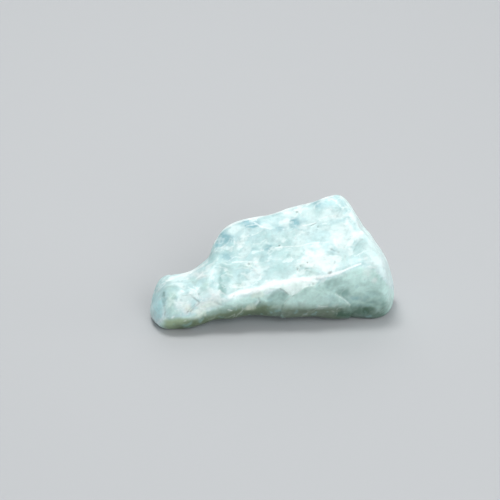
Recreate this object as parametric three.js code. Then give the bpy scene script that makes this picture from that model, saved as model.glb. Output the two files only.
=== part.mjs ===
// A piece of rough larimar: one worn, boot-shaped stone of blue pectolite, about 36 mm long.
// Millimetres, +Z up. +X runs from the narrow toe to the heavy heel, and +Y to the back.
// The origin is under the middle of the stone, on the surface that it rests on.
//
// The stone is described as worn facets. A facet is a flat face that the wear has left: it
// looks towards `turn` (0 right, 90 back, 180 left, 270 front) and `rise` above the horizon,
// and lies `reach` out from the centre of its lump. Two lumps, the body and the toe, have grown
// together at a smooth neck, and a thin leaf of stone stands out on the body's lower front.
// Swells and hollows lie on top of that, and faint waves run over all of it.
import * as THREE from "three";

const MESH_CELL = 0.66; // about the length of a triangle's side
const NECK_BLEND = 3.4; // how far the fillet between body and toe reaches
const LEAF_BLEND = 0.4;
const RELAX_ROUNDS = 8; // rounds of evening out the mesh on the surface
const SAMPLE_LOW = [-20.2, -9.5, -1.5];
const SAMPLE_HIGH = [20, 10.5, 18.5];

const BODY = {
  centre: [5, 0.5, 7],
  softness: 0.5,
  facets: [
    { name: "upper front slope", turn: 261, rise: 52, reach: 3.5 },
    { name: "lower front", turn: 278, rise: -6, reach: 4.9 },
    { name: "front under-bevel", turn: 266, rise: -50, reach: 7.15 },
    { name: "crown end", turn: 10, rise: 35, reach: 10.8 },
    { name: "heel end", turn: 355, rise: 8, reach: 12.4 },
    { name: "heel front corner", turn: 322, rise: 0, reach: 11.6 },
    { name: "shoulder", turn: 180, rise: 22, reach: 14.05 },
    { name: "left flank", turn: 215, rise: -12, reach: 12.7 },
    { name: "back", turn: 98, rise: 8, reach: 8.0 },
    { name: "back left", turn: 143, rise: 6, reach: 12.9 },
    { name: "back right", turn: 50, rise: 4, reach: 11.4 },
    { name: "crest bevel", turn: 114, rise: 50, reach: 10.1 },
    { name: "top", turn: 185, rise: 76, reach: 8.85 },
    { name: "underside", turn: 225, rise: -84.5, reach: 6.55 },
    { name: "back under-bevel", turn: 95, rise: -42, reach: 8.6 },
    { name: "heel under-bevel", turn: 345, rise: -46, reach: 13.6 },
  ],
};

const TOE = {
  centre: [-12.5, -2.4, 3.7],
  softness: 0.45,
  facets: [
    { name: "end", turn: 184, rise: 2, reach: 5.6 },
    { name: "end front corner", turn: 222, rise: 4, reach: 5.2 },
    { name: "end back corner", turn: 140, rise: 8, reach: 5.4 },
    { name: "end top bevel", turn: 190, rise: 42, reach: 4.15 },
    { name: "front", turn: 277, rise: 2, reach: 4.2 },
    { name: "front slope", turn: 262, rise: 46, reach: 3.85 },
    { name: "top", turn: 180, rise: 84, reach: 3.15 },
    { name: "back slope", turn: 90, rise: 42, reach: 4.3 },
    { name: "back", turn: 96, rise: -4, reach: 4.2 },
    { name: "underside", turn: 0, rise: -89, reach: 3.8 },
    { name: "front under-bevel", turn: 270, rise: -46, reach: 4.75 },
    { name: "end under-bevel", turn: 190, rise: -46, reach: 6.1 },
    { name: "back under-bevel", turn: 90, rise: -46, reach: 4.4 },
    { name: "root under-bevel", turn: 350, rise: -68, reach: 3.75 },
    { name: "root", turn: 5, rise: 30, reach: 5.0 },
  ],
};

const LEAF = {
  centre: [7, -3.9, 4.3],
  softness: 0.15,
  facets: [
    { name: "face", turn: 279, rise: -5, reach: 0.32 },
    { name: "upper left edge", turn: 180, rise: 47, reach: 3.3 },
    { name: "upper edge", turn: 0, rise: 71, reach: 1.7 },
    { name: "right edge", turn: 0, rise: 48, reach: 2.25 },
    { name: "lower edge", turn: 270, rise: -80, reach: 1.3 },
    { name: "back", turn: 99, rise: 5, reach: 1.5 },
  ],
};

// Swells stand out by `height`; a hollow has a negative one. `spread` is the radius, and a swell
// with a `to` runs on from `at` to there.
const SWELLS = [
  { name: "toe foot", at: [-14, -4.5, 0], spread: 2.5, height: 0.2 },
  { name: "heel foot", at: [14.8, -1.2, 0], spread: 2.5, height: 0.3 },
  { name: "back foot", at: [5, 5, 0], spread: 3, height: 0.45 },
  { name: "hollow under the body", at: [4, 0, 0.5], to: [12, 2.5, 0], spread: 2.4, height: -0.5 },
  { name: "kink on the crown end", at: [13.8, 4, 12], spread: 1.8, height: -0.6 },
  { name: "dip in the crest", at: [1.5, 5.4, 14], spread: 5, height: -0.22 },
  { name: "vein on the ridge", at: [-4, -5.2, 5.7], to: [13, -2.8, 9.4], spread: 0.9, height: 0.2 },
  { name: "groove under the ridge", at: [-3.5, -5.3, 4.7], to: [3, -4.7, 5.6], spread: 0.9, height: -0.25 },
  { name: "belly under the ridge", at: [-2, -4.6, 1.8], to: [5, -4, 1.6], spread: 1.4, height: 0.3 },
  { name: "hollow by the shoulder", at: [-5.3, 0.5, 10.3], spread: 2.8, height: -0.3 },
  { name: "hollow in the front slope", at: [2, 1.5, 12], spread: 2.6, height: -0.2 },
  { name: "hollow by the heel", at: [12.8, -1, 11.2], spread: 2.2, height: -0.25 },
  { name: "hump over the ridge", at: [9, -1.5, 10.4], spread: 2.8, height: 0.2 },
  { name: "dip before the neck", at: [-7.8, -6.6, 4], spread: 2, height: -0.55 },
  { name: "notch under the toe", at: [-13.9, -6.2, 0.6], spread: 0.9, height: -0.35 },
  { name: "hollow in the toe's end", at: [-17.4, -3.2, 4], spread: 1.6, height: -0.2 },
  { name: "hollow in the back", at: [1, 8.8, 7.5], to: [5, 8.6, 5], spread: 3, height: -0.5 },
  { name: "hump low on the back", at: [10, 8.6, 4.5], spread: 3, height: 0.3 },
  { name: "hollow behind the neck", at: [-9, 2.4, 5], spread: 2, height: -0.3 },
];

// Waves are the faint ripples of the worn surface, `length` from one to the next.
const WAVES = [
  { along: [0.9, 0.1, 0.4], length: 7.1, height: 0.045, start: 0 },
  { along: [0.3, 0.8, -0.5], length: 6.2, height: 0.05, start: 1.3 },
  { along: [-0.5, 0.4, 0.8], length: 4.6, height: 0.04, start: 2.1 },
  { along: [0.7, -0.7, 0.2], length: 3.7, height: 0.03, start: 0.7 },
];

const LARIMAR = new THREE.MeshStandardMaterial({
  name: "larimar",
  color: new THREE.Color(0.62, 0.82, 0.8),
  roughness: 0.35,
  metalness: 0,
});

const vector = (values) => new THREE.Vector3(...values);

function facing(turn, rise) {
  const fromTop = THREE.MathUtils.degToRad(90 - rise);
  const around = THREE.MathUtils.degToRad(turn);
  return new THREE.Vector3(
    Math.sin(fromTop) * Math.cos(around),
    Math.sin(fromTop) * Math.sin(around),
    Math.cos(fromTop),
  );
}

// A lump's depth: below 0 inside the stone, above 0 outside, and soft where facets meet.
function lumpDepth({ centre, softness, facets }) {
  const middle = vector(centre);
  const planes = facets.map(({ turn, rise, reach }) => ({
    normal: facing(turn, rise),
    reach,
  }));
  return (point) => {
    const outward = point.clone().sub(middle);
    const total = planes.reduce(
      (sum, { normal, reach }) => sum + Math.exp((normal.dot(outward) - reach) / softness),
      0,
    );
    return softness * Math.log(total);
  };
}

function smoothUnion(a, b, blend) {
  const overlap = Math.max(blend - Math.abs(a - b), 0) / blend;
  return Math.min(a, b) - (overlap * overlap * blend) / 4;
}

const bodyDepth = lumpDepth(BODY);
const toeDepth = lumpDepth(TOE);
const leafDepth = lumpDepth(LEAF);
const swells = SWELLS.map(({ at, to, spread, height }) => ({
  line: new THREE.Line3(vector(at), vector(to ?? at)),
  spread,
  height,
}));
const waves = WAVES.map((wave) => ({ ...wave, along: vector(wave.along).normalize() }));

function swellHeight(point, { line, spread, height }) {
  const nearest = line.closestPointToPoint(point, true, new THREE.Vector3());
  return height * Math.exp(-point.distanceToSquared(nearest) / (spread * spread));
}

function waveHeight(point, { along, length, height, start }) {
  return height * Math.sin((2 * Math.PI * point.dot(along)) / length + start);
}

function stoneDepth(point) {
  const worn = smoothUnion(bodyDepth(point), toeDepth(point), NECK_BLEND);
  const leafed = smoothUnion(worn, leafDepth(point), LEAF_BLEND);
  const swelled = swells.reduce((depth, swell) => depth - swellHeight(point, swell), leafed);
  return waves.reduce((depth, wave) => depth - waveHeight(point, wave), swelled);
}

// Moves a point along the field's slope until it lies on the surface.
function dropOnto(depth, point) {
  const step = 0.01;
  for (let round = 0; round < 3; round++) {
    const here = depth(point);
    const slope = new THREE.Vector3(
      ...["x", "y", "z"].map((axis) => {
        const beside = point.clone();
        beside[axis] += step;
        return (depth(beside) - here) / step;
      }),
    );
    point.addScaledVector(slope, -here / slope.lengthSq());
  }
}

// Surface nets: one vertex in each grid cell that the surface crosses, and one four-sided face
// round each grid edge that it crosses.
function surfaceNet(depth, low, high, cell) {
  const counts = low.map((start, axis) => Math.ceil((high[axis] - start) / cell) + 1);
  const strides = [1, counts[0], counts[0] * counts[1]];
  const inside = new Uint8Array(counts[0] * counts[1] * counts[2]);
  const nodeOf = (i, j, k) => i + j * strides[1] + k * strides[2];
  for (let k = 0; k < counts[2]; k++)
    for (let j = 0; j < counts[1]; j++)
      for (let i = 0; i < counts[0]; i++) {
        const point = vector([i, j, k].map((n, axis) => low[axis] + n * cell));
        inside[nodeOf(i, j, k)] = depth(point) < 0 ? 1 : 0;
      }

  const points = [];
  const pointOfCell = new Map();
  const cellPoint = (node) => {
    if (!pointOfCell.has(node)) {
      const k = Math.floor(node / strides[2]);
      const j = Math.floor((node % strides[2]) / strides[1]);
      const i = node % strides[1];
      const middle = [i, j, k].map((n, axis) => low[axis] + (n + 0.5) * cell);
      pointOfCell.set(node, points.push(vector(middle)) - 1);
    }
    return pointOfCell.get(node);
  };

  const quads = [];
  for (let axis = 0; axis < 3; axis++) {
    const [along, across, up] = [0, 1, 2].map((n) => strides[(axis + n) % 3]);
    for (let node = across + up; node < inside.length - along; node++) {
      if (inside[node] === inside[node + along]) continue;
      const around = [node, node - across, node - across - up, node - up].map(cellPoint);
      quads.push(inside[node] ? around : around.reverse());
    }
  }
  return { points, quads };
}

// Evens out the mesh: each vertex moves to the middle of its neighbours, then back to the surface.
function relax({ points, quads }, depth, rounds) {
  const neighbours = points.map(() => new Set());
  for (const quad of quads)
    quad.forEach((vertex, corner) => {
      const next = quad[(corner + 1) % 4];
      neighbours[vertex].add(next);
      neighbours[next].add(vertex);
    });
  for (let round = 0; round < rounds; round++) {
    const middles = neighbours.map((around) => {
      const middle = new THREE.Vector3();
      around.forEach((vertex) => middle.add(points[vertex]));
      return middle.divideScalar(around.size);
    });
    middles.forEach((middle, vertex) => {
      dropOnto(depth, middle);
      points[vertex].copy(middle);
    });
  }
}

function splitQuad(points, [a, b, c, d]) {
  const shorter = points[a].distanceTo(points[c]) < points[b].distanceTo(points[d]);
  return shorter ? [a, b, c, a, c, d] : [a, b, d, b, c, d];
}

function stoneGeometry() {
  const net = surfaceNet(stoneDepth, SAMPLE_LOW, SAMPLE_HIGH, MESH_CELL);
  relax(net, stoneDepth, RELAX_ROUNDS);
  // What would reach below the surface is the small flat spots that the stone rests on.
  for (const point of net.points) point.z = Math.max(point.z, 0);
  const geometry = new THREE.BufferGeometry().setFromPoints(net.points);
  geometry.setIndex(net.quads.flatMap((quad) => splitQuad(net.points, quad)));
  geometry.computeBoundingBox();
  const middle = geometry.boundingBox.getCenter(new THREE.Vector3());
  geometry.translate(-middle.x, -middle.y, 0);
  geometry.computeVertexNormals();
  return geometry;
}

const stone = new THREE.Mesh(stoneGeometry(), LARIMAR);
stone.name = "larimar_stone";

const part = new THREE.Group();
part.add(stone);

export default part;
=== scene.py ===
"""A worn piece of rough larimar on a plain pale floor, in soft studio light.

The CAD stone is remeshed finely and gets its small relief: ledges, cracks, pits and a faint
grain. Its colours are placed as clouds and veins, and some of them are painted highlights,
rim light and shade. Their places are given as seen from the front: u to the right and v down
on a view of the stone that is 500 steps wide, one step being 0.148 mm at the stone.
"""

import math
from itertools import product

import bpy
import numpy as np
from mathutils import Matrix, Vector


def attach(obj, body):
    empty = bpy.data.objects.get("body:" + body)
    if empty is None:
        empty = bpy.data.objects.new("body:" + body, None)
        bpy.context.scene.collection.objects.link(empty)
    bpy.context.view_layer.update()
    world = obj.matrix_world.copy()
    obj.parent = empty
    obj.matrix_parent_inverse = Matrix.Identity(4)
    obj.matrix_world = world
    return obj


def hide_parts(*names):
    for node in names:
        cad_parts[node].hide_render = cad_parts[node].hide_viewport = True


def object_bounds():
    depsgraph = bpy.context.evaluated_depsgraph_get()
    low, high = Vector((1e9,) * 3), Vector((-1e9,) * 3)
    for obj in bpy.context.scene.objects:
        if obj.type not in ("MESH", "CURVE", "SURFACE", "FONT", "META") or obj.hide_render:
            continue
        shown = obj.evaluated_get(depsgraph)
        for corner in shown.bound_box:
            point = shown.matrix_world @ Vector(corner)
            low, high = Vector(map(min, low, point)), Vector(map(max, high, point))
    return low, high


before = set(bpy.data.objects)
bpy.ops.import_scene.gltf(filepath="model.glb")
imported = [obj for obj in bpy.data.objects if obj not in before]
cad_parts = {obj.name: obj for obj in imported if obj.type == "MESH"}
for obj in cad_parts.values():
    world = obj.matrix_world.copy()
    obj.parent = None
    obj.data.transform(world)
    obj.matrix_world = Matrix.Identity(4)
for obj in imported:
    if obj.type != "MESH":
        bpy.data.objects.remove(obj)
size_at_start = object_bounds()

MM = 0.001

# The view from the front. A step, the distance and the aim are in mm, and nearer than
# NEAREST, in m, nothing is drawn.
VIEW_STEPS = 500
STEP = 0.148
DISTANCE = 460.0
ELEVATION = math.radians(28)
AIM = np.array([-3.3, -0.23, 9.97])
BACKWARD = np.array([0, -math.cos(ELEVATION), math.sin(ELEVATION)])
UPWARD = np.array([0, math.sin(ELEVATION), math.cos(ELEVATION)])
SIDEWAYS = np.array([1.0, 0, 0])
EYE = AIM + BACKWARD * DISTANCE
SENSOR_WIDTH = 36
NEAREST = 0.01


# Camera


def add_camera():
    camera = bpy.data.objects.new("camera", bpy.data.cameras.new("camera"))
    camera.data.sensor_width = SENSOR_WIDTH
    camera.data.lens = SENSOR_WIDTH * DISTANCE / (VIEW_STEPS * STEP)
    camera.data.clip_start = NEAREST
    columns = [SIDEWAYS, UPWARD, BACKWARD]
    turn = Matrix([[column[row] for column in columns] for row in range(3)]).to_4x4()
    camera.matrix_world = Matrix.Translation(Vector(EYE * MM)) @ turn
    bpy.context.scene.collection.objects.link(camera)
    bpy.context.scene.camera = camera


add_camera()


# Colours

PALE = (0.735, 0.855, 0.862)
PALE_BLUE = (0.725, 0.9, 0.915)
WHITE = (0.873, 0.938, 0.933)
BRIGHT = (0.945, 0.975, 0.97)
# The colour of the painted rim light.
PAINTED_RIM_LIGHT = (0.875, 0.96, 0.955)
CREAM = (0.915, 0.985, 0.965)
WARM_CREAM = (0.92, 0.955, 0.895)
BLUE = (0.5, 0.69, 0.725)
AQUA = (0.65, 0.79, 0.79)
GREY_BLUE = (0.54, 0.69, 0.7)
SAGE = (0.675, 0.795, 0.765)
PALE_SAGE = (0.785, 0.91, 0.885)
LEAF_SAGE = (0.715, 0.83, 0.805)
TEAL = (0.5, 0.63, 0.605)
DEEP_GREEN = (0.25, 0.36, 0.3)
OLIVE = (0.365, 0.435, 0.33)
PALE_OLIVE = (0.59, 0.665, 0.53)
GREY_GREEN = (0.4, 0.46, 0.39)
DARK = (0.3, 0.38, 0.37)


def linear(color):
    """A display colour as linear light, by the usual curve."""
    color = np.asarray(color, float)
    return np.where(color <= 0.04045, color / 12.92, ((color + 0.055) / 1.055) ** 2.4)


# Clouds of colour on the front

# Each cloud: u, v, half width and half height in steps, turn in degrees, strength.
PALE_BLUE_CLOUDS = [
    (155, 304, 5, 13, 0, 0.95),
    (158, 316, 4, 4, 0, 0.9),
    (330, 201, 9, 4, -15, 0.7),
]

SAGE_CLOUDS = [
    (224, 275, 7, 7, 0, 0.85),
    (285, 256, 7, 5, 0, 0.6),
    (239, 287, 6, 4, 0, 0.4),
    (169, 282, 6, 4, -20, 0.35),
    (321, 292, 9, 7, 20, 0.5),
    (205, 288, 4, 8, 10, 0.7),
    (171, 300, 5, 14, 0, 0.85),
    (171, 289, 6, 4, 10, 0.7),
    (171, 309, 6, 5, 0, 0.7),
    (249, 266, 6, 3, 0, 0.6),
    (264, 234, 9, 5, 0, 0.4),
    (312, 273, 9, 4, 0, 0.55),
    (343, 259, 4, 4, 0, 0.4),
    (373, 267, 4, 4, 0, 0.5),
    (193, 281, 5, 3, 30, 0.4),
    (225, 303, 9, 4, 0, 0.3),
    (213, 303, 5, 3, 0, 0.35),
    (245, 280, 8, 5, 0, 0.25),
    (294, 253, 7, 7, 0, 0.3),
    (222, 295, 4, 5, 0, 0.4),
]

AQUA_CLOUDS = [
    (266, 238, 12, 8, 0, 0.6),
    (226, 246, 12, 14, 0, 0.4),
    (284, 247, 9, 9, 0, 0.9),
    (296, 232, 8, 5, 0, 0.8),
    (266, 219, 12, 3, -14, 0.6),
    (272, 251, 14, 6, 0, 0.35),
    (262, 243, 10, 8, 0, 0.45),
    (302, 214, 10, 5, -15, 0.4),
    (222, 264, 9, 5, 0, 0.85),
    (246, 222, 12, 3, -8, 0.7),
    (272, 218, 9, 3, -15, 0.5),
    (233, 262, 10, 8, 0, 0.3),
    (279, 268, 8, 7, 0, 0.8),
    (306, 267, 9, 5, 0, 0.5),
    (251, 224, 6, 3, 0, 0.7),
    (290, 236, 12, 5, 0, 0.5),
    (336, 254, 7, 4, 0, 0.2),
    (361, 249, 7, 6, -35, 0.15),
    (340, 208, 6, 4, 0, 0.6),
    (331, 200, 7, 3, 0, 0.5),
    (212, 262, 4, 6, 30, 0.9),
    (222, 285, 6, 13, 0, 1.0),
    (156, 303, 5, 14, 0, 0.15),
    (190, 302, 6, 4, 0, 0.5),
    (184, 297, 4, 3, 0, 0.5),
    (208, 303, 6, 3, 0, 0.35),
    (318, 240, 5, 2, 0, 0.6),
    (368, 257, 6, 4, 0, 0.45),
    (315, 208, 10, 8, 0, 0.5),
    (243, 270, 10, 5, 0, 0.3),
    (328, 226, 8, 4, 0, 0.4),
]

BLUE_CLOUDS = [
    (226, 237, 8, 6, 20, 0.95),
    (217, 244, 3, 6, 10, 0.65),
    (250, 223, 10, 4, -5, 1.0),
    (321, 200, 6, 4, -15, 0.4),
    (254, 232, 40, 14, -14, 0.22),
    (298, 229, 8, 4, 0, 0.35),
    (280, 228, 5, 3, -15, 0.75),
    (294, 222, 6, 5, 0, 1.0),
    (303, 221, 7, 3, 0, 0.5),
    (318, 204, 7, 6, 0, 0.75),
    (265, 248, 4, 4, 0, 0.75),
    (255, 248, 5, 1.5, 0, 0.5),
    (225, 257, 7, 4, 0, 0.65),
    (354, 247, 3, 5, -35, 0.2),
    (332, 253, 4, 3, 0, 0.25),
    (222, 274, 4, 6, 0, 0.3),
    (221, 244, 4, 6, 0, 0.45),
]

GREY_BLUE_CLOUDS = [
    (329, 298, 7, 4, 0, 0.3),
    (355, 297, 8, 3, 12, 0.75),
    (347, 300, 5, 3, 12, 0.4),
    (155, 289, 4, 6, 0, 0.4),
    (163, 300, 2.5, 9, 0, 0.5),
    (370, 295, 8, 4, 0, 0.35),
]

PALE_SAGE_CLOUDS = [
    (363, 277, 16, 6, -10, 0.8),
    (249, 300, 9, 3, -8, 0.7),
    (176, 314, 7, 4, 0, 0.8),
    (257, 297, 8, 4, -8, 0.8),
    (262, 291, 6, 3, 0, 0.5),
    (352, 274, 8, 3, -20, 0.5),
    (303, 297, 8, 4, -10, 0.4),
    (362, 288, 6, 3, 0, 0.4),
]

TEAL_CLOUDS = [
    (223, 265, 7, 4, 0, 0.3),
    (238, 287, 5, 4, 0, 0.3),
    (222, 286, 4, 9, 0, 0.6),
    (331, 283, 9, 4, 0, 0.55),
    (325, 281, 4, 2, 20, 0.4),
    (339, 281, 4, 2, -20, 0.35),
    (335, 288, 5, 2, 10, 0.4),
    (297, 268, 2, 2, 0, 0.45),
    (301, 265, 2, 1.5, 0, 0.4),
    (306, 269, 3, 2, 0, 0.4),
    (309, 263, 2, 1.5, 0, 0.45),
    (313, 267, 2, 2, 0, 0.4),
    (303, 272, 3, 1.5, 0, 0.35),
    (311, 272, 3, 1.5, 0, 0.3),
    (343, 291, 6, 3.5, 10, 0.85),
    (277, 297, 8, 7, 0, 0.5),
    (284, 294, 4, 4, 40, 0.5),
    (370, 303, 12, 3, 0, 0.7),
    (381, 301, 7, 9, 0, 0.65),
    (362, 305, 14, 4, 0, 0.4),
    (376, 293, 7, 5, 0, 0.3),
]

# The deep green along the heel's lower edge: partly the stone's colour, partly painted shade.
DEEP_GREEN_CLOUDS = [
    (363, 310, 19, 6, 0, 0.95),
    (346, 315, 11, 3, 0, 0.9),
    (383, 308, 7, 6, 0, 0.6),
    (372, 303, 7, 2, 0, 0.35),
    (275, 311, 7, 3, 0, 0.35),
    (376, 306, 5, 4, 0, 0.3),
    (366, 299, 5, 3, 0, 0.2),
]

WHITE_CLOUDS = [
    (211, 271, 6, 8, 50, 0.45),
    (203, 271, 6, 3, -30, 0.4),
    (213, 293, 5, 6, 20, 1.0),
    (180, 287, 8, 3, 15, 0.85),
    (181, 292, 4, 3, 0, 0.8),
    (195, 295, 4, 6, 30, 0.8),
    (205, 304, 6, 3, 0, 0.6),
    (180, 304, 4, 3, 0, 0.7),
    (186, 310, 8, 5, 0, 0.9),
    (209, 296, 6, 5, 0, 0.6),
    (188, 274, 7, 3, -15, 0.5),
    (233, 285, 4, 6, 0, 0.35),
    (176, 279, 11, 2.5, -8, 0.5),
    (231, 231, 7, 3, -25, 0.6),
    (242, 240, 4, 8, 25, 0.6),
    (248, 247, 4, 9, 25, 0.6),
    (267, 226, 8, 2.5, 22, 0.6),
    (284, 222, 6, 4, -20, 0.85),
    (291, 213, 8, 5, 0, 0.6),
    (259, 266, 4, 8, -25, 0.9),
    (248, 262, 11, 2, 0, 0.7),
    (300, 261, 9, 5, 0, 0.5),
    (346, 229, 20, 14, -20, 0.75),
    (342, 252, 26, 13, -15, 0.5),
    (188, 305, 8, 7, 0, 0.8),
    (187, 312, 6, 3, 0, 0.9),
    (325, 263, 13, 8, -10, 0.6),
    (367, 247, 6, 8, -30, 0.6),
    (322, 250, 24, 8, -8, 0.4),
    (325, 257, 12, 6, 0, 0.8),
    (299, 254, 12, 4, -10, 0.35),
    (318, 248, 10, 4, -10, 0.5),
    # These two clouds by the edge of the crown end are painted rim light.
    (381, 264, 4, 9, -20, 0.9),
    (381, 271, 5, 6, -10, 0.6),
    (342, 242, 14, 5, 0, 1.0),
    (352, 247, 11, 5, -20, 0.5),
    (331, 262, 11, 5, -10, 0.4),
    (361, 240, 7, 7, -40, 0.5),
    (350, 222, 8, 8, -40, 0.7),
    (350, 232, 12, 8, 0, 0.5),
    (325, 219, 6, 4, 0, 0.6),
    (343, 224, 12, 7, 0, 0.4),
    (353, 214, 5, 10, -40, 0.9),
    (321, 266, 8, 6, 0, 0.85),
]

CREAM_CLOUDS = [
    (198, 312, 8, 4, -25, 0.65),
    (203, 306, 9, 5, -20, 0.3),
    (213, 303, 7, 4, -10, 0.45),
    (190, 310, 5, 5, 0, 0.7),
    (196, 316, 7, 3, -20, 0.4),
    (250, 307, 5, 3, 0, 0.35),
    (260, 294, 8, 2.5, -8, 0.45),
]

BRIGHT_CLOUDS = [
    (315, 256, 14, 8, -8, 0.6),
    (330, 247, 8, 4, 0, 0.5),
    (328, 251, 5, 4, 0, 0.45),
    (351, 241, 4, 8, 35, 0.7),
    (358, 237, 6, 3, -40, 0.7),
    (368, 270, 5, 7, 0, 0.35),
    (376, 279, 4, 4, 0, 0.45),
    (322, 279, 5, 2.5, -10, 0.6),
    (351, 254, 4, 4, 0, 0.4),
    (376, 266, 5, 8, -25, 0.45),
    (322, 276, 6, 4, -8, 0.6),
    (326, 267, 6, 5, 0, 0.5),
    (336, 217, 7, 4, 0, 0.45),
    (356, 224, 4, 7, -35, 0.4),
    (303, 228, 5, 3, 0, 0.35),
    (195, 274, 6, 4, 0, 0.55),
    (216, 298, 5, 5, 0, 0.6),
    (243, 240, 5, 6, 0, 0.35),
    (196, 312, 4, 4, 0, 0.3),
]

# Thin veils over the white threads: blue and aqua above, teal on the leaf and the lower face.
BLUE_VEILS = [
    (224, 239, 7, 7, 20, 0.55),
    (217, 243, 4, 6, 10, 0.55),
    (253, 223, 7, 2.5, 0, 0.6),
    (295, 223, 5, 4, 0, 0.55),
    (265, 248, 4, 4, 0, 0.4),
]

AQUA_VEILS = [
    (218, 262, 7, 4, 0, 0.9),
    (214, 257, 5, 6, 30, 0.6),
    (211, 249, 4, 5, 30, 0.5),
    (236, 263, 8, 4, 0, 0.75),
    (264, 265, 5, 5, 0, 0.6),
    (280, 237, 7, 4, 0, 0.5),
    (294, 234, 5, 4, 0, 0.5),
    (261, 246, 6, 4, 0, 0.75),
    (280, 255, 7, 6, 0, 0.75),
    (268, 271, 7, 4, 0, 0.45),
    (226, 281, 5, 6, 0, 0.8),
    (214, 284, 5, 5, 0, 0.4),
    (232, 297, 4, 6, 0, 0.55),
    (174, 290, 6, 4, 0, 0.75),
    (204, 290, 4, 5, 0, 0.4),
    (345, 262, 5, 4, 0, 0.5),
    (318, 213, 6, 5, 0, 0.7),
    (301, 274.5, 5, 2.5, 0, 0.8),
    (168, 314, 4, 4, 0, 0.4),
]

TEAL_VEILS = [
    (306, 289, 6, 3, -20, 0.4),
    (325, 289, 7, 2.5, 15, 0.35),
    (345, 284, 8, 3, 0, 0.35),
    (336, 303, 6, 4, 0, 0.35),
    (374, 300, 5, 5, 0, 0.35),
]


# Veins, painted highlights and shade, cracks and outlines

# Veins, painted highlights, painted rim light and cracks: the points along them, their
# width in steps, their strength.
WHITE_VEINS_AND_HIGHLIGHTS = [
    # The ridge: a white vein with a painted highlight along it.
    ([(230, 297), (240, 293.5), (250, 291.5), (262, 288), (275, 283)], 4.0, 0.95),
    ([(275, 283), (290, 281), (303, 279)], 4.4, 0.9),
    ([(303, 279), (312, 278), (320, 276.5)], 3.2, 0.75),
    ([(318, 278), (330, 275), (341, 272)], 2.6, 0.9),
    ([(341, 272), (348, 268.5), (361, 264)], 1.5, 0.9),
    ([(275, 248), (283, 247), (300, 246), (310, 243.5), (328, 242)], 0.9, 0.5),
    ([(303, 226), (309, 225), (316, 223)], 1.2, 0.6),
    ([(254, 222), (260, 226), (270, 229)], 1.2, 0.6),
    # A painted highlight along the right edge of the raised leaf.
    ([(335, 294), (340, 297), (345, 300), (350, 305)], 0.9, 0.42),
    ([(317, 305.5), (322, 307), (328, 307)], 0.9, 0.35),
    ([(284, 304), (288, 299), (292, 296)], 0.9, 0.45),
    # Along the top outline of the stone and of the toe: painted rim light.
    ([(214, 243), (218, 235), (223, 229.5), (232, 224), (245, 219.5), (270, 214.5),
      (300, 205), (320, 199), (333, 195.5)], 1.8, 0.6),
    ([(166, 281), (176, 276.5), (190, 273), (203, 265)], 1.8, 0.5),
    ([(156, 325), (161, 319), (165, 312)], 1.2, 0.3),
    ([(188, 287), (196, 291), (199, 299)], 1.0, 0.5),
    ([(193, 309), (198, 305), (203, 299)], 0.9, 0.5),
    ([(246, 226), (256, 224), (262, 227)], 0.8, 0.5),
    ([(232, 262), (246, 261), (258, 263)], 1.0, 0.5),
    ([(321, 219), (329, 216), (338, 215)], 0.9, 0.4),
    # Painted glints: small highlights on the toe and the lower face.
    ([(172, 318), (174.5, 316.5)], 1.3, 0.6),
    ([(184.5, 321.5), (186, 321)], 1.1, 0.3),
    ([(228.5, 309.5), (232, 310.5)], 1.0, 0.45),
    ([(256, 304), (259, 300)], 2.2, 0.35),
]

# How many of the lines, from the first, are the ridge, which stands out a little. Its
# white is partly vein and partly painted highlight.
RIDGE_VEINS_AND_HIGHLIGHT = 4

# Painted rim light along the edges of the crown end, and on the pale stone beside them.
PAINTED_RIM_LIGHTS = [
    ([(381, 242), (390, 262)], 5.0, 0.7),
    ([(368, 236), (376, 247), (383, 259), (387, 270), (390, 282)], 6.0, 0.75),
    ([(366, 250), (374, 255), (380, 264)], 6.0, 0.4),
    ([(376, 259), (380, 266), (383, 273)], 5.0, 0.9),
    ([(341, 196.5), (347, 202), (353, 211), (359, 221), (366, 231), (374, 240),
      (382, 252), (387, 264), (390, 280)], 3.5, 0.9),
]

# The pale face between the ridge and the leaf.
CREAM_FACE = [
    (262, 292), (270, 289), (281, 288.5), (288, 294), (292, 296), (300, 290.5), (305, 287),
    (314, 286), (319, 281), (300, 279), (275, 283),
]

# The cracks and other dark lines, which are cut in a little. One of them is a painted
# shadow edge.
DARK_LINES = [
    ([(163.5, 293), (163.2, 300), (163.8, 306)], 2.2, 0.6),
    ([(163.8, 306), (165, 312), (164, 318)], 1.2, 0.4),
    ([(190, 295), (195, 299), (200, 303)], 1.3, 0.65),
    ([(200, 303), (195, 307), (190, 312)], 1.3, 0.5),
    ([(196, 304), (191, 308), (187, 313)], 0.9, 0.35),
    ([(311, 226), (316, 223.5)], 1.0, 0.5),
    ([(280, 288.5), (284, 290.5), (288, 294)], 1.1, 0.5),
    ([(292, 296), (300, 291), (305, 287.5), (312, 286.5)], 1.0, 0.45),
    ([(330, 249), (334, 251.5), (338, 252.5)], 1.6, 0.4),
    # A painted shadow edge, at the left edge of the aqua patch by the crown end.
    ([(353.5, 252), (355, 247), (358, 243), (362, 239.5)], 1.6, 0.22),
    ([(336, 292), (341, 295), (347, 299)], 1.8, 0.35),
    ([(205, 276), (199, 278), (194, 283)], 1.4, 0.2),
    ([(259, 298), (260, 302), (258, 305)], 1.8, 0.4),
    ([(206, 262), (210, 256), (213, 250)], 1.2, 0.35),
    ([(327, 274), (331, 272)], 1.4, 0.6),
    ([(182, 296), (188, 296), (192, 298)], 0.9, 0.4),
    ([(215, 302), (222, 305), (232, 306)], 1.2, 0.3),
]

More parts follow.
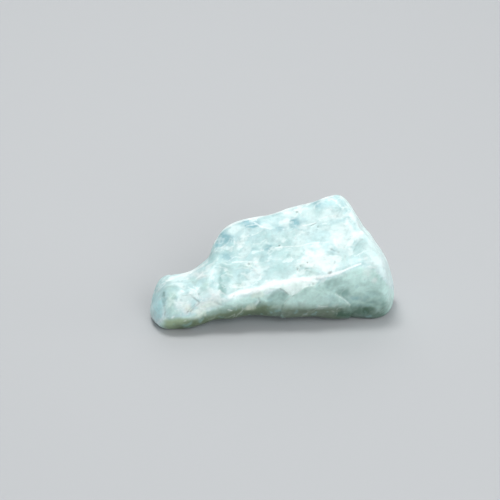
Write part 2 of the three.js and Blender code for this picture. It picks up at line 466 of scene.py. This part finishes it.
# The lower face darkens towards the underside, from the first line to the second: partly
# the stone's own colour, partly painted shade.
SHADE_START = [
    (150, 325), (165, 322), (182, 320), (192, 315.5), (205, 310.5), (222, 305), (240, 303),
    (252, 302.5), (262, 298), (285, 301), (295, 301.5), (320, 302.5), (345, 301.5), (365, 298),
    (385, 303), (394, 310),
]
SHADE_FULL = [
    (150, 336), (165, 334), (182, 328), (192, 321.5), (204, 317.5), (222, 313.5), (240, 311),
    (262, 307), (285, 310), (345, 311), (365, 310), (385, 316), (394, 326),
]

# Down to this line the lower face goes from pale sage to sage.
SAGE_LINE = [
    (150, 314), (190, 314), (215, 310), (240, 308), (252, 306), (262, 303), (290, 305),
    (330, 302), (345, 299), (365, 298), (385, 304), (394, 308),
]

# Where, by u, the shade turns from olive to grey green, and from that to deep green.
GREY_START = (265, 290)
DEEP_START = (338, 356)

# Dark specks: u, v, radius in steps, strength.
SPECKS = [
    (297, 212, 1.3, 0.7),
    (279, 246, 1.1, 0.8),
    (249, 264, 1.6, 0.6),
    (234, 296.5, 1.2, 0.6),
    (222, 295, 1.0, 0.3),
    (193, 282, 1.2, 0.4),
    (199, 294, 1.2, 0.4),
    (182, 281, 0.9, 0.4),
    (329, 273, 1.8, 0.7),
    (331, 250, 1.3, 0.5),
    (318, 227, 1.3, 0.6),
    (317, 230, 0.9, 0.4),
    (307, 263, 1.1, 0.6),
    (300, 266, 1.0, 0.5),
    (297, 269, 1.0, 0.5),
    (312, 261, 1.1, 0.5),
    (260, 302, 1.5, 0.7),
    (188, 312, 0.9, 0.5),
    (294, 211, 0.8, 0.4),
    (313, 284, 1.2, 0.5),
    (319, 285, 1.0, 0.5),
]

# The line below which the front is the darker lower face.
LOWER_FACE_TOP = [
    (150, 332), (166, 318), (190, 316), (215, 308), (232, 300), (262, 294), (290, 290),
    (320, 281), (341, 274), (361, 266), (376, 270), (394, 290),
]

# The raised ledge with the shape of a leaf.
LEAF = [
    (280, 313), (284, 304), (288, 299), (292, 296), (300, 291), (305, 287), (312, 286),
    (320, 289), (330, 293), (337, 295), (345, 300), (350, 306), (352, 312), (346, 322),
    (280, 322),
]

# The darker patch on the left of the leaf: partly teal stone, partly painted shade where the
# face turns down.
LEFT_PATCH = [
    (267, 297), (273, 291.5), (280, 288.5), (284, 290.5), (289, 295), (285, 301), (282, 306),
    (272, 306), (267, 302),
]

# The aqua patch by the crown end, partly the stone's aqua and partly painted shade. Its
# left edge is crisp, a painted shadow edge, and it fades to the right from the first of two
# places u to the second.
RIGHT_PATCH = [
    (366, 237), (361, 239), (357, 243), (354, 248), (352.5, 254), (353, 259), (363, 259),
    (374, 252), (374, 240),
]
RIGHT_PATCH_FADE = (356, 374)

# Where the outline draws in a little, on the near and the far side: u, v, radius in steps,
# depth in mm.
DENTS = [
    (363, 227, 11, 0.15),
    (207, 256, 14, 0.26),
    (149, 304, 14, 0.15),
]

# Small pits: u, v, radius in steps, depth in mm.
PITS = [
    (297, 212, 1.6, 0.1),
    (279, 246, 1.2, 0.09),
    (249, 264, 1.8, 0.08),
    (234, 296.5, 1.4, 0.09),
    (260, 302, 2.2, 0.16),
    (254, 308, 1.4, 0.1),
    (329, 273, 1.8, 0.12),
    (318, 227, 1.6, 0.1),
    (173, 317, 2.0, 0.1),
    (230, 310, 1.6, 0.08),
    (300, 266, 1.2, 0.06),
    (307, 263, 1.3, 0.06),
    (313, 284, 1.4, 0.09),
]


# The broad washes

# A noise is given by the width of its largest lumps in mm, its seed, and how many sizes of
# lumps it has. A wash is a colour, its strength, its noise, and the two values of the noise
# between which it rises from nothing to full.
UPPER_WASHES = [
    (WHITE, 0.7, (4.0, 71, 5), (-0.3, 0.6)),
    (AQUA, 0.5, (3.0, 81, 5), (-0.1, 0.6)),
]
LOWER_WASHES = [
    (TEAL, 0.35, (2.2, 57, 5), (0.0, 0.6)),
    (WHITE, 0.3, (1.8, 51, 5), (0.1, 0.6)),
]
BACK_WASHES = [
    (WHITE, 0.85, (4.5, 91, 6), (0.1, 0.5)),
    (BLUE, 0.7, (4.0, 97, 6), (0.15, 0.7)),
]
UNDERSIDE_WASH = (DEEP_GREEN, 0.4, (4.2, 103, 5), (0.1, 0.6))
FLECKS = (BRIGHT, 0.4, (0.8, 121, 3), (0.3, 0.42))


# Noise, distances and cover

# The noise: its random cells each way, its turn against the stone, and how far in it lies the
# stone's middle. The sizes of a fractal together are divided by its reach.
NOISE_CELLS = 64
NOISE_TURN = np.array([[0.8, 0.36, -0.48], [-0.6, 0.48, -0.64], [0, 0.8, 0.6]])
NOISE_START = 500
FRACTAL_REACH = 1.4

# How clouds, lines and specks fade, as shares of their half width: the first of each pair is
# where they begin to fade, and the second is where they are gone.
CLOUD_FADE = (0.3, 1.5)
LINE_FADE = (0.3, 1.8)
SPECK_FADE = (0.3, 1.2)

# How much the rough noise frays the edges, and how much the body noise changes the cover.
CLOUD_FRAY = 1.2
LINE_FRAY = 0.3
CLOUD_COVER = 0.95
CLOUD_COVER_CHANGE = 0.5


def eased(part):
    return part * part * (3 - 2 * part)


def smooth_step(value, low, high):
    """0 up to low, 1 from high on, with an eased rise between them."""
    return eased(np.clip((value - low) / (high - low), 0, 1))


def fade(value, low, high):
    """1 up to low, 0 from high on, with an eased fall between them."""
    return 1 - smooth_step(value, low, high)


def noise(points, size, seed):
    """Smooth noise from -1 to 1 whose lumps are about `size` across."""
    cells = np.random.default_rng(seed).uniform(-1, 1, (NOISE_CELLS, NOISE_CELLS, NOISE_CELLS))
    place = points @ NOISE_TURN / size + NOISE_START
    base = np.floor(place).astype(int)
    part = eased(place - base)
    total = np.zeros(len(points))
    for corner in product((0, 1), repeat=3):
        share = np.prod(np.where(corner, part, 1 - part), axis=1)
        spot = (base + corner) % NOISE_CELLS
        total += share * cells[spot[:, 0], spot[:, 1], spot[:, 2]]
    return total


def fractal(points, size, seed, rounds):
    """Noise of several sizes, each half the last, from about -1 to 1."""
    total = sum(noise(points, size / 2**n, seed + n) / 2**n for n in range(rounds))
    return total / FRACTAL_REACH


def seen_from_front(points):
    """(u, v) of each point, as the lists above place things."""
    away = points - EYE
    depth = -away @ BACKWARD
    u = VIEW_STEPS / 2 + away @ SIDEWAYS / depth * DISTANCE / STEP
    v = VIEW_STEPS / 2 - away @ UPWARD / depth * DISTANCE / STEP
    return np.stack([u, v], axis=1)


def line_height(line, u):
    """The v that a line through several points has at each u."""
    line = np.array(line, float)
    return np.interp(u, line[:, 0], line[:, 1])


def line_distance(places, line):
    """How far each place is from a line through several points, in steps."""
    line = np.array(line, float)
    nearest = np.full(len(places), np.inf)
    for start, end in zip(line[:-1], line[1:]):
        along = end - start
        share = np.clip((places - start) @ along / (along @ along), 0, 1)
        gap = np.linalg.norm(places - start - share[:, None] * along, axis=1)
        nearest = np.minimum(nearest, gap)
    return nearest


def inside_distance(places, outline):
    """How far inside an outline each place is, negative outside, in steps."""
    gap = line_distance(places, outline + outline[:1])
    inside = np.zeros(len(places), bool)
    for (u0, v0), (u1, v1) in zip(outline, outline[1:] + outline[:1]):
        if v0 == v1:
            continue
        crosses = (v0 > places[:, 1]) != (v1 > places[:, 1])
        edge = u0 + (places[:, 1] - v0) / (v1 - v0) * (u1 - u0)
        inside ^= crosses & (places[:, 0] < edge)
    return np.where(inside, gap, -gap)


def spot_distance(places, u, v, radius):
    """How far each place is from the middle of a spot, as a share of its radius."""
    return np.linalg.norm(places - (u, v), axis=1) / radius


def cloud_share(places, clouds, rough, body):
    """How strongly a list of clouds covers each place.

    rough breaks up their edges, and body makes them thicker here and thinner there.
    """
    cover = np.zeros(len(places))
    for u, v, half_width, half_height, turn, strength in clouds:
        turn = math.radians(turn)
        away = places - (u, v)
        across = (away[:, 0] * math.cos(turn) + away[:, 1] * math.sin(turn)) / half_width
        down = (away[:, 1] * math.cos(turn) - away[:, 0] * math.sin(turn)) / half_height
        reach = np.hypot(across, down) + CLOUD_FRAY * rough
        cover = np.maximum(cover, strength * fade(reach, *CLOUD_FADE))
    return cover * (CLOUD_COVER + CLOUD_COVER_CHANGE * body)


def line_share(places, lines, rough):
    """How strongly a list of lines covers each place."""
    cover = np.zeros(len(places))
    for line, width, strength in lines:
        reach = line_distance(places, line) / (width / 2) + LINE_FRAY * rough
        cover = np.maximum(cover, strength * fade(reach, *LINE_FADE))
    return cover


def speck_share(places, specks):
    """How strongly a list of specks covers each place."""
    cover = np.zeros(len(places))
    for u, v, radius, strength in specks:
        reach = spot_distance(places, u, v, radius)
        cover = np.maximum(cover, strength * fade(reach, *SPECK_FADE))
    return cover


# The shape of the stone

# The fine copy: the side of its cells in mm, and how strongly and how often it is smoothed.
VOXEL = 0.15
SMOOTHING = 0.5
SMOOTHING_ROUNDS = 12

# The small relief: heights and depths in mm, and noises as for the washes.
WAVE_HEIGHT = 0.06
WAVE_NOISE = (2.6, 1, 3)
SKIN_HEIGHT = 0.015
SKIN_NOISE = (0.7, 5, 2)
LEAF_HEIGHT = 0.26
FACE_HEIGHT = 0.12
RIDGE_HEIGHT = 0.06
CRACK_DEPTH = 0.1
SCAR_DEPTH = 0.12
SCAR_NOISE = (3.1, 61, 3)
SCAR_RISE = (0.42, 0.6)
PIT_FADE = (0.1, 1.1)

# The relief of the front begins and is full where a face turns this much to the front.
RELIEF_FACING = (0.05, 0.35)

# How far the ledges, cracks and pits wander, and how soft the ledges are, in steps.
WANDER = 0.5
WANDER_SIZE = 1.1
WANDER_SEEDS = (21, 22)
LEDGE_SOFTNESS = 0.8


def fine_copy(node):
    """The CAD node as a fine, even mesh in millimetres, without its flat triangles."""
    mesh = node.data.copy()
    mesh.transform(Matrix.Scale(1 / MM, 4) @ node.matrix_world)
    piece = bpy.data.objects.new("larimar", mesh)
    bpy.context.scene.collection.objects.link(piece)
    remesh = piece.modifiers.new("fine", "REMESH")
    remesh.mode = "VOXEL"
    remesh.voxel_size = VOXEL
    even = piece.modifiers.new("even", "SMOOTH")
    even.factor = SMOOTHING
    even.iterations = SMOOTHING_ROUNDS
    seen = piece.evaluated_get(bpy.context.evaluated_depsgraph_get())
    fine = bpy.data.meshes.new_from_object(seen)
    piece.modifiers.clear()
    piece.data = fine
    return piece


def read(mesh, field):
    """A field of three numbers for each vertex, as rows."""
    values = np.empty(len(mesh.vertices) * 3)
    mesh.vertices.foreach_get(field, values)
    return values.reshape(-1, 3)


def relief(points, normals):
    """How far each point of the worn surface stands out, in millimetres."""
    front = smooth_step(normals @ BACKWARD, *RELIEF_FACING)
    wander = np.stack([noise(points, WANDER_SIZE, seed) for seed in WANDER_SEEDS], axis=1)
    places = seen_from_front(points) + WANDER * wander
    height = WAVE_HEIGHT * fractal(points, *WAVE_NOISE)
    height += SKIN_HEIGHT * fractal(points, *SKIN_NOISE)
    for outline, ledge in ((LEAF, LEAF_HEIGHT), (CREAM_FACE, FACE_HEIGHT)):
        inside = inside_distance(places, outline)
        height += front * ledge * smooth_step(inside, -LEDGE_SOFTNESS, LEDGE_SOFTNESS)
    for line, width, strength in DARK_LINES:
        crack = fade(line_distance(places, line), 0, width)
        height -= front * CRACK_DEPTH * strength * crack
    for line, width, _ in WHITE_VEINS_AND_HIGHLIGHTS[:RIDGE_VEINS_AND_HIGHLIGHT]:
        height += front * RIDGE_HEIGHT * fade(line_distance(places, line), 0, width)
    for u, v, radius, depth in PITS:
        height -= front * depth * fade(spot_distance(places, u, v, radius), *PIT_FADE)
    for u, v, radius, depth in DENTS:
        height -= depth * fade(spot_distance(places, u, v, radius), 0, 1)
    scars = smooth_step(fractal(points, *SCAR_NOISE), *SCAR_RISE)
    return height - (1 - front) * SCAR_DEPTH * scars


# The colours of the stone

# The front's colours begin and are full where a face turns this much to the front, moved a
# little by a noise. The underside's are given by how much a face turns down.
COLOUR_FACING = (-0.25, 0.05)
FACING_CHANGE = 0.12
FACING_SIZE = 2.5
FACING_SEED = 27
UNDERSIDE_FACING = (-0.15, 0.6)

# How far outlines, clouds and the shade wander from their places, in steps.
PLACE_NOISES = [(3.0, 31, 5), (3.0, 37, 5)]
SHARP_WANDER = 0.8
CLOUD_WANDER = 3.0
SHADE_WANDER = (3, 2)

# The noises that fray and thicken the clouds, and a finer one that is added to the first.
ROUGH_NOISE = (1.3, 41, 4)
FINE_ROUGH_NOISE = (0.5, 43, 2)
FINE_ROUGH = 0.25
BODY_NOISE = (1.0, 47, 3)
SOFT_FRAY = 0.45

# Wisps: the direction of the ridge, the share by which the points are drawn together along
# it, which draws out the noise, and how far they are swirled, in mm.
WISP_DIRECTION = np.array([0.955, 0.05, 0.29])
WISP_SHORTENING = 0.45
SWIRL = 1.5
SWIRL_SIZE = 3.2
SWIRL_ROUNDS = 4
SWIRL_SEEDS = (201, 211, 221)

# White threads through the stone: their strength, noise, width on the noise and gaps.
THREAD_STRENGTH = 0.45
THREAD_NOISE = (2.2, 131, 4)
THREAD_WIDTH = 0.09
THREAD_GAP_SIZE = 0.8
THREAD_GAP_SEED = 9
THREAD_GAP_RISE = (-0.3, 0.5)

# The lower face: how softly it begins below its top, and how sage follows on pale sage.
LOWER_EDGE = (-1.5, 3.0)
PALE_SAGE_STRENGTH = 0.9
SAGE_CHANGE = 0.35
SAGE_RISE = (0.2, 1.1)
UNDERSIDE_SAGE = 0.75

# The patches and ledges: how soft their edges are, and how strong they are at the least and
# with the body noise added.
LEFT_PATCH_EDGE = (-1.0, 2.5)
LEFT_PATCH_STRENGTH = (0.5, 0.3)
LEAF_EDGE = (-0.4, 0.8)
LEAF_STRENGTH = (0.75, 0.3)
RIGHT_PATCH_EDGE = (-0.3, 1.6)
RIGHT_PATCH_STRENGTH = (0.5, 0.3)
CREAM_EDGE = (-0.9, 0.9)
CREAM_STRENGTH = 0.9

# The shade towards the underside, partly the stone's own colour and partly painted shade,
# and how much painted shade darkens the stone at its lowest edge.
SHADE_CHANGE = 0.2
SHADE_CURVE = 1.2
SHADE_STRENGTH = 0.95
DEEP_STRENGTH = 0.75
LOWEST_PAINTED_SHADE = 0.3
LOWEST_FADE = (0, 7)

# The paler olive under the toe, partly the stone's colour and partly painted shade:
# strength, where the toe ends, and where the olive rises.
TOE_STRENGTH = 0.9
TOE_END = (205, 235)
TOE_OLIVE_V = (317, 322)
TOE_OLIVE_U = (158, 168)

# Flecks and threads are weaker on the lower face and the underside.
FLECK_LOSS = 0.9
THREAD_LOSS = 0.6

# Small grey-blue motes, and the gaps in the cracks, the other dark lines and the specks.
MOTE_STRENGTH = 0.35
MOTE_NOISE = (0.8, 141, 3)
MOTE_RISE = (0.35, 0.7)
GAP_SIZE = 0.6
GAP_SEED = 151
GAP_RISE = (-0.9, 0.3)
DARK_LINE_STRENGTH = 0.75
SPECK_STRENGTH = 0.85

# The last fine change of brightness, from two noises.
MOTTLE = 0.06
MOTTLE_NOISE = (0.9, 161, 3)
STREAK = 0.09
STREAK_NOISE = (0.5, 171, 2)


def wisps(points):
    """The points drawn out along the ridge and swirled, so that noise on them runs in wisps."""
    along = WISP_DIRECTION / np.linalg.norm(WISP_DIRECTION)
    drawn_out = points - WISP_SHORTENING * (points @ along)[:, None] * along
    swirls = [fractal(points, SWIRL_SIZE, seed, SWIRL_ROUNDS) for seed in SWIRL_SEEDS]
    return drawn_out + SWIRL * np.stack(swirls, axis=1)


def threads(points):
    """1 on thin, broken threads through the stone, and 0 away from them."""
    size, seed, rounds = THREAD_NOISE
    field = np.abs(fractal(points, size, seed, rounds))
    gaps = noise(points, size * THREAD_GAP_SIZE, seed + THREAD_GAP_SEED)
    return fade(field, 0, THREAD_WIDTH) * smooth_step(gaps, *THREAD_GAP_RISE)


class Skin:
    """The colour of each point of the stone, as linear light, laid on coat by coat."""

    def __init__(self, points, normals):
        self.points = points
        self.color = np.tile(linear(PALE), (len(points), 1))
        facing = normals @ BACKWARD + FACING_CHANGE * noise(points, FACING_SIZE, FACING_SEED)
        self.front = smooth_step(facing, *COLOUR_FACING)
        self.back = 1 - self.front
        self.underside = smooth_step(-normals[:, 2], *UNDERSIDE_FACING)
        self.wander = np.stack([fractal(points, *kind) for kind in PLACE_NOISES], axis=1)
        self.drawn = seen_from_front(points)
        self.sharp = self.drawn + SHARP_WANDER * self.wander
        self.places = self.drawn + CLOUD_WANDER * self.wander
        self.streaked = wisps(points)
        self.rough = fractal(self.streaked, *ROUGH_NOISE)
        self.rough += FINE_ROUGH * fractal(points, *FINE_ROUGH_NOISE)
        self.body = fractal(self.streaked, *BODY_NOISE)
        self.lower = smooth_step(self.below(LOWER_FACE_TOP), *LOWER_EDGE)

    def below(self, line):
        """How far each place is below a line, in steps."""
        return self.sharp[:, 1] - line_height(line, self.sharp[:, 0])

    def lay(self, shade, cover):
        share = np.clip(cover, 0, 1)[:, None]
        self.color = self.color * (1 - share) + linear(shade) * share

    def lay_wash(self, where, shade, strength, kind, rise):
        """Lay a wash where it belongs."""
        self.lay(shade, where * strength * smooth_step(fractal(self.streaked, *kind), *rise))

    def lay_clouds(self, shade, clouds, fray=1):
        """Lay a list of clouds on the front."""
        cover = cloud_share(self.places, clouds, fray * self.rough, self.body)
        self.lay(shade, self.front * cover)

    def lay_patch(self, shade, inside, strength):
        """Lay a patch on the front, stronger where the body noise is high."""
        least, change = strength
        self.lay(shade, self.front * inside * (least + change * self.body))

    def broad_colours(self):
        for wash in UPPER_WASHES:
            self.lay_wash(1, *wash)
        lower_front = self.front * self.lower
        self.lay(PALE_SAGE, lower_front * PALE_SAGE_STRENGTH)
        below_top = self.below(LOWER_FACE_TOP)
        down = below_top / (below_top - self.below(SAGE_LINE))
        self.lay(SAGE, lower_front * smooth_step(down + SAGE_CHANGE * self.body, *SAGE_RISE))
        for wash in LOWER_WASHES:
            self.lay_wash(lower_front, *wash)
        self.lay(SAGE, self.back * self.underside * UNDERSIDE_SAGE)
        for wash in BACK_WASHES:
            self.lay_wash(self.back, *wash)
        self.lay_wash(self.back * self.underside, *UNDERSIDE_WASH)

    def lower_patches(self):
        # The patch left of the leaf is partly painted shade, and the leaf's lighter tone partly
        # painted light.
        left = smooth_step(inside_distance(self.sharp, LEFT_PATCH), *LEFT_PATCH_EDGE)
        self.lay_patch(TEAL, left, LEFT_PATCH_STRENGTH)
        leaf = smooth_step(inside_distance(self.sharp, LEAF), *LEAF_EDGE)
        self.lay_patch(LEAF_SAGE, leaf, LEAF_STRENGTH)

    def shade_to_underside(self):
        """Darken the lower face down, olive at the toe to deep green at the heel: partly
        painted shade.
        """
        across = self.drawn[:, 0] + SHADE_WANDER[0] * self.wander[:, 0]
        height = self.drawn[:, 1] + SHADE_WANDER[1] * self.wander[:, 1]
        start = line_height(SHADE_START, across)
        end = line_height(SHADE_FULL, across)
        depth = (height - start) / (end - start) + SHADE_CHANGE * self.body
        shade = self.front * np.clip(depth, 0, 1) ** SHADE_CURVE
        grey = smooth_step(across, *GREY_START)
        deep = smooth_step(across, *DEEP_START)
        toe = self.front * fade(across, *TOE_END) * TOE_STRENGTH
        toe = toe * smooth_step(height, *TOE_OLIVE_V) * smooth_step(across, *TOE_OLIVE_U)
        self.lay(PALE_OLIVE, toe)
        # Olive, grey green and deep green: partly the stone's colour, partly painted shade.
        self.lay(OLIVE, SHADE_STRENGTH * shade * (1 - grey))
        self.lay(GREY_GREEN, SHADE_STRENGTH * shade * grey * (1 - deep))
        self.lay(DEEP_GREEN, DEEP_STRENGTH * shade * deep)
        # Painted shade: the lowest edge is made darker still.
        lowest = smooth_step(height - end, *LOWEST_FADE)
        self.color = self.color * (1 - LOWEST_PAINTED_SHADE * self.front * lowest)[:, None]

    def front_clouds(self):
        for shade, clouds in (
            (PALE_BLUE, PALE_BLUE_CLOUDS),
            (PALE_SAGE, PALE_SAGE_CLOUDS),
            (SAGE, SAGE_CLOUDS),
            (AQUA, AQUA_CLOUDS),
            (BLUE, BLUE_CLOUDS),
            (GREY_BLUE, GREY_BLUE_CLOUDS),
            (TEAL, TEAL_CLOUDS),
            (DEEP_GREEN, DEEP_GREEN_CLOUDS),
        ):
            self.lay_clouds(shade, clouds, SOFT_FRAY)
        cream = smooth_step(inside_distance(self.sharp, CREAM_FACE), *CREAM_EDGE)
        self.lay(CREAM, self.front * CREAM_STRENGTH * cream)
        self.lay_clouds(WHITE, WHITE_CLOUDS)
        self.lay_clouds(WARM_CREAM, CREAM_CLOUDS)
        self.lay_clouds(BRIGHT, BRIGHT_CLOUDS)
        # The aqua patch by the crown end: partly its aqua, partly painted shade.
        right = smooth_step(inside_distance(self.sharp, RIGHT_PATCH), *RIGHT_PATCH_EDGE)
        right *= fade(self.sharp[:, 0], *RIGHT_PATCH_FADE)
        self.lay_patch(AQUA, right, RIGHT_PATCH_STRENGTH)

    def threads_and_veils(self):
        low = np.maximum(self.lower * self.front, self.underside)
        self.lay_wash(1 - FLECK_LOSS * low, *FLECKS)
        strength = THREAD_STRENGTH * (1 - THREAD_LOSS * self.lower)
        self.lay(BRIGHT, strength * threads(self.streaked))
        self.lay_clouds(BLUE, BLUE_VEILS, SOFT_FRAY)
        self.lay_clouds(AQUA, AQUA_VEILS, SOFT_FRAY)
        self.lay_clouds(TEAL, TEAL_VEILS, SOFT_FRAY)

    def veins_highlights_and_specks(self):
        # Painted rim light along the edges of the crown end.
        self.lay(PAINTED_RIM_LIGHT, self.front * line_share(self.sharp, PAINTED_RIM_LIGHTS, self.rough))
        # White veins, with painted highlights, glints and rim light among them.
        self.lay(BRIGHT, self.front * line_share(self.sharp, WHITE_VEINS_AND_HIGHLIGHTS, self.rough))
        motes = smooth_step(fractal(self.points, *MOTE_NOISE), *MOTE_RISE)
        self.lay(GREY_BLUE, MOTE_STRENGTH * motes)
        kept = smooth_step(noise(self.points, GAP_SIZE, GAP_SEED), *GAP_RISE)
        # The cracks and dark lines, one of them a painted shadow edge.
        dark_line_cover = line_share(self.sharp, DARK_LINES, self.rough)
        self.lay(DARK, self.front * DARK_LINE_STRENGTH * kept * dark_line_cover)
        specks = speck_share(self.sharp, SPECKS)
        self.lay(DARK, self.front * SPECK_STRENGTH * kept * specks)

    def mottle(self):
        change = MOTTLE * fractal(self.points, *MOTTLE_NOISE)
        change += STREAK * fractal(self.streaked, *STREAK_NOISE)
        self.color = self.color * (1 + change)[:, None]


def tint(points, normals):
    """The stone's colour at each point, as linear light."""
    skin = Skin(points, normals)
    skin.broad_colours()
    skin.lower_patches()
    skin.shade_to_underside()
    skin.front_clouds()
    skin.threads_and_veils()
    skin.veins_highlights_and_specks()
    skin.mottle()
    return skin.color


# The material of the stone

# The stone lets a little light in, and its grain also gives a faint bump. Lengths are in m.
STONE_INPUTS = {
    "Subsurface Weight": 0.35,
    "Subsurface Radius": (1.0, 1.0, 0.95),
    "Subsurface Scale": 0.0005,
    "IOR": 1.55,
}
GRAIN_INPUTS = {"Scale": 2200, "Detail": 5, "Roughness": 0.6}
BUMP_INPUTS = {"Strength": 0.25, "Distance": 0.00004}

# The grain's ranges, and the ranges of brightness and roughness that they are moved to.
BRIGHTNESS_FROM = (0.3, 0.7)
BRIGHTNESS_TO = (0.93, 1.07)
ROUGHNESS_FROM = (0.35, 0.65)
ROUGHNESS_TO = (0.3, 0.48)


def set_inputs(node, values):
    for name, value in values.items():
        node.inputs[name].default_value = value


def moved_range(tree, source, old, new):
    """A value moved from one range to another."""
    node = tree.nodes.new("ShaderNodeMapRange")
    names = ("From Min", "From Max", "To Min", "To Max")
    set_inputs(node, dict(zip(names, old + new)))
    tree.links.new(source, node.inputs["Value"])
    return node.outputs["Result"]


def larimar_material():
    material = bpy.data.materials.new("larimar")
    material.use_nodes = True
    tree = material.node_tree
    shader = tree.nodes["Principled BSDF"]
    set_inputs(shader, STONE_INPUTS)

    colour = tree.nodes.new("ShaderNodeAttribute")
    colour.attribute_name = "tint"
    place = tree.nodes.new("ShaderNodeTexCoord")
    grain = tree.nodes.new("ShaderNodeTexNoise")
    set_inputs(grain, GRAIN_INPUTS)
    tree.links.new(place.outputs["Object"], grain.inputs["Vector"])

    brightness = moved_range(tree, grain.outputs["Fac"], BRIGHTNESS_FROM, BRIGHTNESS_TO)
    grained = tree.nodes.new("ShaderNodeVectorMath")
    grained.operation = "SCALE"
    tree.links.new(colour.outputs["Color"], grained.inputs[0])
    tree.links.new(brightness, grained.inputs["Scale"])
    tree.links.new(grained.outputs["Vector"], shader.inputs["Base Color"])

    roughness = moved_range(tree, grain.outputs["Fac"], ROUGHNESS_FROM, ROUGHNESS_TO)
    tree.links.new(roughness, shader.inputs["Roughness"])

    bump = tree.nodes.new("ShaderNodeBump")
    set_inputs(bump, BUMP_INPUTS)
    tree.links.new(grain.outputs["Fac"], bump.inputs["Height"])
    tree.links.new(bump.outputs["Normal"], shader.inputs["Normal"])
    return material


def add_stone():
    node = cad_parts["larimar_stone"]
    piece = fine_copy(node)
    mesh = piece.data
    points = read(mesh, "co")
    normals = read(mesh, "normal")
    points = points + normals * relief(points, normals)[:, None]
    low, high = np.array(size_at_start) / MM
    points = np.clip(points, low, high)
    mesh.vertices.foreach_set("co", (points * MM).ravel())
    mesh.update()
    shade = np.ones((len(points), 4))
    shade[:, :3] = tint(points, read(mesh, "normal"))
    layer = mesh.color_attributes.new("tint", "FLOAT_COLOR", "POINT")
    layer.data.foreach_set("color", shade.ravel())
    mesh.shade_smooth()
    mesh.materials.clear()
    mesh.materials.append(larimar_material())
    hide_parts("larimar_stone")
    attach(piece, "root")


add_stone()


# Floor and light

FLOOR_HALF = 1.5
FLOOR_COLOUR = (0.72, 0.73, 0.74)
FLOOR_ROUGHNESS = 0.8
WORLD_COLOUR = (0.95, 0.98, 1.0)
WORLD_STRENGTH = 0.42
PLAIN_LIGHT = (1, 1, 1)

# Each light: name, place, the point it is aimed at, size in m, power in W, colour.
LIGHTS = [
    ("key", (-0.06, 0.05, 0.33), (0, 0, 0.006), 0.11, 0.54, (1.0, 0.99, 0.97)),
    ("back", (0.0, 0.3, 0.2), (0, 0, 0.008), 0.3, 0.32, PLAIN_LIGHT),
    ("right fill", (0.4, -0.02, 0.16), (0.015, 0, 0.008), 0.3, 0.3, PLAIN_LIGHT),
    ("front fill", (0.15, -0.4, 0.25), (0, 0, 0.006), 0.3, 1.2, PLAIN_LIGHT),
]


def add_floor():
    half = FLOOR_HALF
    corners = [(-half, -half, 0), (half, -half, 0), (half, half, 0), (-half, half, 0)]
    mesh = bpy.data.meshes.new("floor")
    mesh.from_pydata(corners, [], [(0, 1, 2, 3)])
    floor = bpy.data.objects.new("floor", mesh)
    bpy.context.scene.collection.objects.link(floor)
    material = bpy.data.materials.new("floor")
    material.use_nodes = True
    shader = material.node_tree.nodes["Principled BSDF"]
    set_inputs(shader, {"Base Color": (*linear(FLOOR_COLOUR), 1), "Roughness": FLOOR_ROUGHNESS})
    mesh.materials.append(material)


def add_light(name, place, aim, size, power, color):
    light = bpy.data.lights.new(name, "AREA")
    light.size = size
    light.energy = power
    light.color = color
    lamp = bpy.data.objects.new(name, light)
    lamp.location = place
    facing = Vector(aim) - Vector(place)
    lamp.rotation_euler = facing.to_track_quat("-Z", "Y").to_euler()
    bpy.context.scene.collection.objects.link(lamp)


def add_world():
    world = bpy.data.worlds.new("world")
    world.use_nodes = True
    background = world.node_tree.nodes["Background"]
    set_inputs(background, {"Color": (*WORLD_COLOUR, 1), "Strength": WORLD_STRENGTH})
    bpy.context.scene.world = world


add_floor()
add_world()
for settings in LIGHTS:
    add_light(*settings)
bpy.context.scene.view_settings.view_transform = "Standard"
